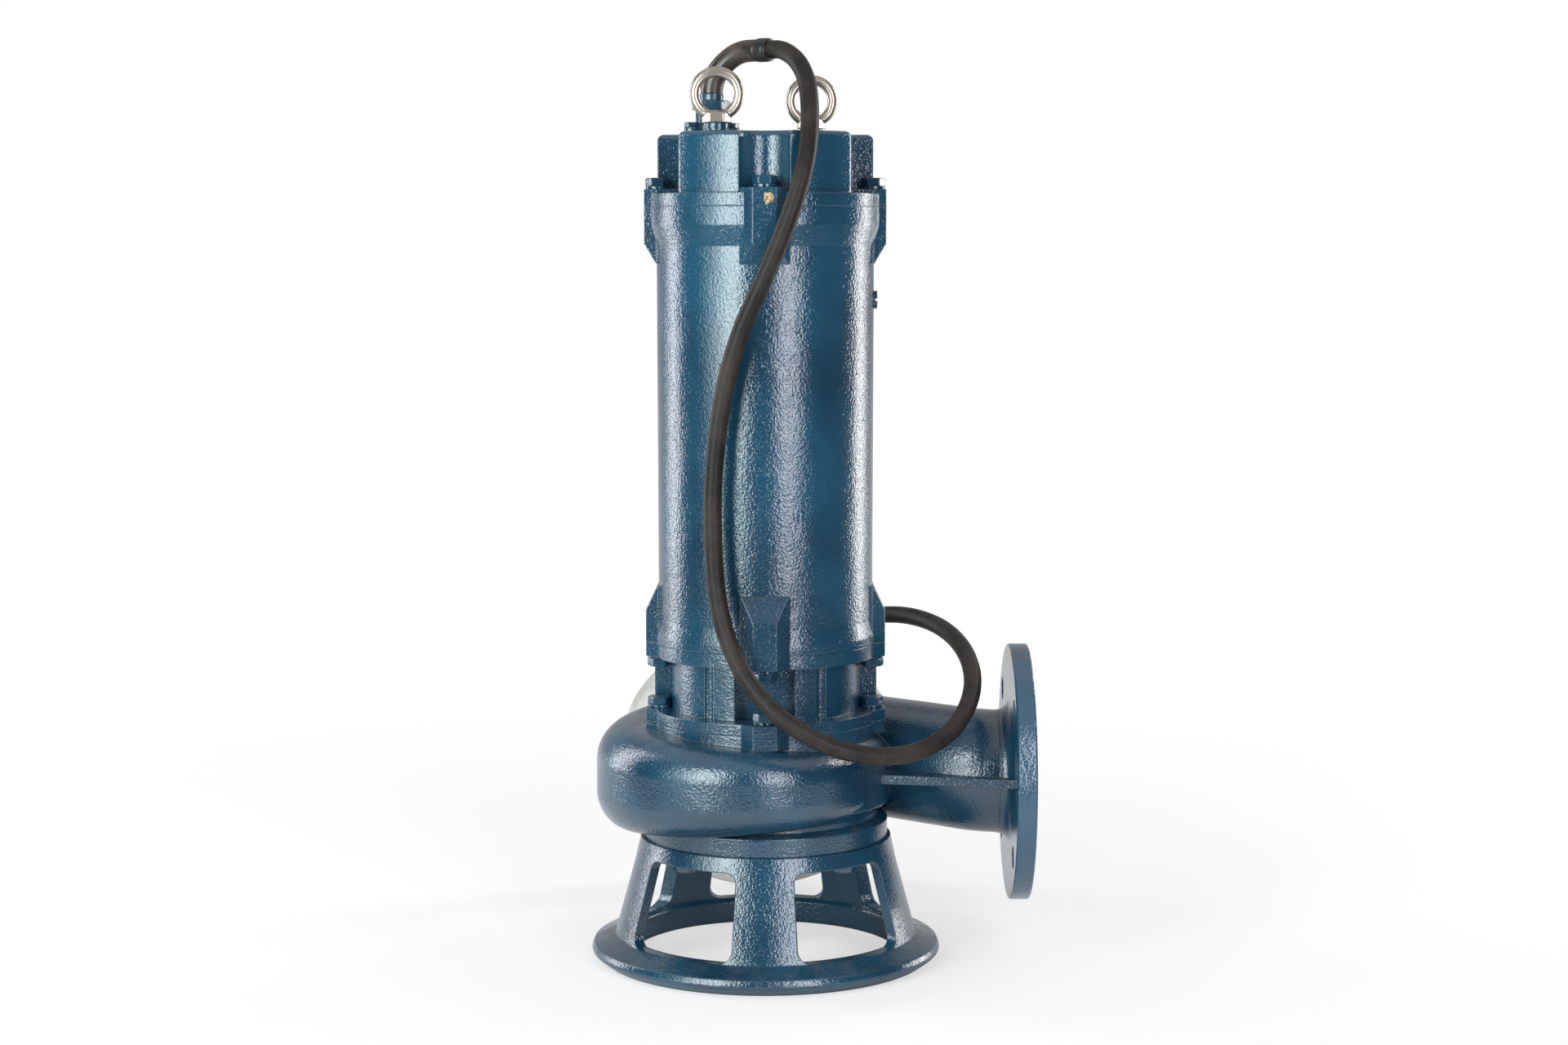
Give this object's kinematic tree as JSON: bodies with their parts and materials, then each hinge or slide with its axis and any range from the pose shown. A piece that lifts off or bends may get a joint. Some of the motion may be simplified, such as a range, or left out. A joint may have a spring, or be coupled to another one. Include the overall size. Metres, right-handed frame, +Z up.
{
  "type": "submersible sewage pump",
  "caption": "Upright submersible sewage pump in blue enamelled cast iron, with a spiral volute, side discharge flange, open suction stand, lifting eyes and a coiled supply cable.",
  "frame": {"origin": "on the pump axis in the plane of the foot ring's underside", "axes": "+Z up along the pump axis, +X out of the discharge flange, -Y towards the side that the picture shows"},
  "size_m": [0.3416, 0.4158, 0.7131],
  "materials": {
    "casing_enamel": "glossy blue enamel over rough cast iron",
    "bolt_enamel": "the same enamel over machined steel",
    "washer_enamel": "enamel over spring steel",
    "polished_stainless": "polished stainless steel",
    "shaft_steel": "ground steel",
    "bearing_steel": "ground bearing steel",
    "cast_iron": "bare cast iron",
    "core_steel": "stacked sheet steel",
    "rotor_aluminium": "cast aluminium",
    "winding_copper": "varnished copper wire",
    "seal_carbon": "lapped carbon and ceramic",
    "board_plastic": "moulded phenolic",
    "black_rubber": "black rubber, slightly dusty",
    "band_tape": "smooth black band",
    "wrapped_coil": "thin clear film round black cable"
  },
  "bodies": {
    "casing": {"stand": "casing_enamel", "volute_casing": "casing_enamel", "suction_wear_ring": "cast_iron", "oil_chamber_casing": "casing_enamel", "oil_plug": "bolt_enamel", "seal_plate": "cast_iron", "volute_sealing_ring": "black_rubber", "motor_sealing_ring": "black_rubber", "cover_sealing_ring": "black_rubber", "motor_casing": "casing_enamel", "casing_plug": "bolt_enamel", "top_cover": "casing_enamel", "left_lifting_eye": "polished_stainless", "right_lifting_eye": "polished_stainless", "gland_body": "casing_enamel", "gland_bolts": "bolt_enamel", "gland_bush": "black_rubber", "gland_nut": "casing_enamel", "cable_sleeve": "black_rubber", "cable_band": "band_tape", "supply_cable": "black_rubber", "cable_coil": "wrapped_coil", "stand_bolts": "bolt_enamel", "volute_washers": "washer_enamel", "volute_bolts": "bolt_enamel", "motor_joint_washers": "washer_enamel", "motor_joint_bolts": "bolt_enamel", "cover_washers": "washer_enamel", "cover_bolts": "bolt_enamel", "stator_core": "core_steel", "lower_windings": "winding_copper", "upper_windings": "winding_copper", "lower_bearing_outer_ring": "bearing_steel", "upper_bearing_outer_ring": "bearing_steel", "upper_bearing_bracket": "cast_iron", "terminal_block": "board_plastic", "lower_seal_seat": "seal_carbon", "upper_seal_seat": "seal_carbon"},
    "rotor": {"shaft": "shaft_steel", "rotor_core": "core_steel", "rotor_end_rings": "rotor_aluminium", "impeller": "cast_iron", "impeller_key": "shaft_steel", "impeller_washer": "shaft_steel", "impeller_bolt": "shaft_steel", "lower_bearing_inner_ring": "bearing_steel", "upper_bearing_inner_ring": "bearing_steel", "lower_seal_head": "seal_carbon", "upper_seal_head": "seal_carbon", "seal_spring": "shaft_steel"},
    "lower_cage": {"lower_bearing_balls": "bearing_steel", "lower_bearing_cage": "shaft_steel"},
    "upper_cage": {"upper_bearing_balls": "bearing_steel", "upper_bearing_cage": "shaft_steel"}
  },
  "joints": [
    {"name": "rotor_spin", "type": "hinge", "parent": "casing", "child": "rotor", "pos_m": [0, 0, 0.4], "axis": [0, 0, 1], "continuous": true},
    {"name": "lower_cage_spin", "type": "hinge", "parent": "casing", "child": "lower_cage", "pos_m": [0, 0, 0.2475], "axis": [0, 0, 1], "continuous": true},
    {"name": "upper_cage_spin", "type": "hinge", "parent": "casing", "child": "upper_cage", "pos_m": [0, 0, 0.5595], "axis": [0, 0, 1], "continuous": true}
  ],
  "couplings": [
    {"joint": "lower_cage_spin", "follows": "rotor_spin", "ratio": 0.3826},
    {"joint": "upper_cage_spin", "follows": "rotor_spin", "ratio": 0.3678}
  ]
}
